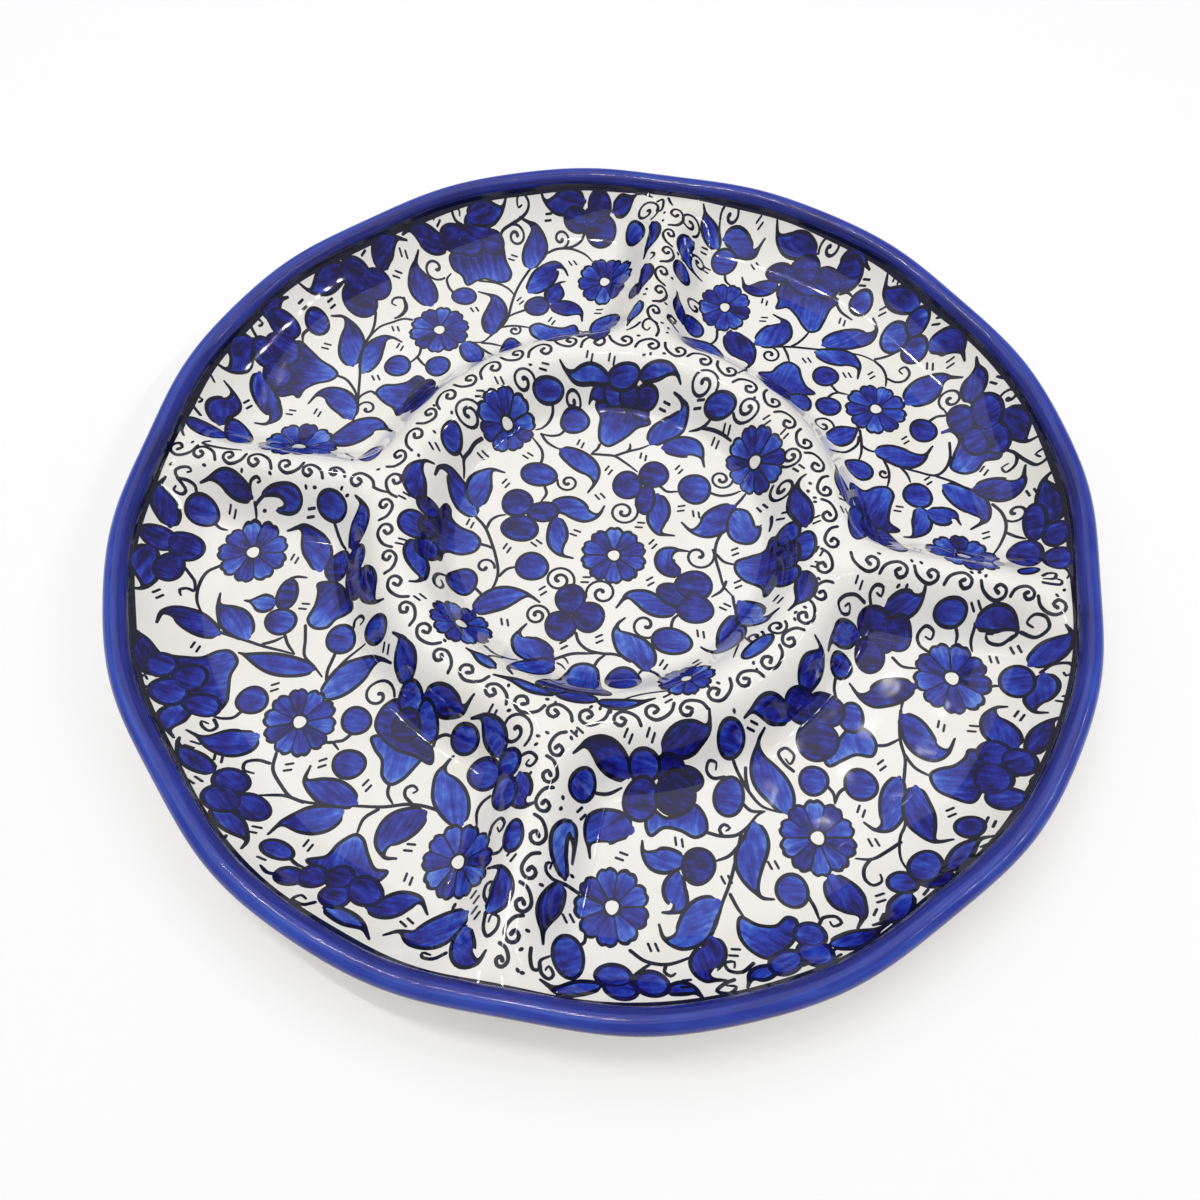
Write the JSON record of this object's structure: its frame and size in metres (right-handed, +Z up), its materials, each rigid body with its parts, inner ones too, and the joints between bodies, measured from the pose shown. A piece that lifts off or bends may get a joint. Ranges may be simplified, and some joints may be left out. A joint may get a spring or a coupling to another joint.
{
  "type": "divided plate",
  "caption": "Round lobed serving platter in glazed earthenware, with deep outer wells divided by rounded ridges round a centre well.",
  "frame": {"origin": "middle of the foot ring's flat, on the plane that the platter stands on", "axes": "+Z up, square to the foot ring; X and Y run along the dividing ridges, -Y towards the near ridge"},
  "size_m": [0.3156, 0.3156, 0.0305],
  "materials": {
    "clay": "bare fired clay, matt and slightly sandy",
    "painted_glaze": "clear gloss glaze over a warm white ground with cobalt painting",
    "blue_glaze": "clear gloss glaze over a brushed cobalt band",
    "white_glaze": "clear gloss glaze over warm white"
  },
  "bodies": {
    "root": {"clay_body": "clay", "face_glaze": "painted_glaze", "rim_band_glaze": "blue_glaze", "underside_glaze": "white_glaze", "base_glaze": "white_glaze"}
  },
  "joints": []
}
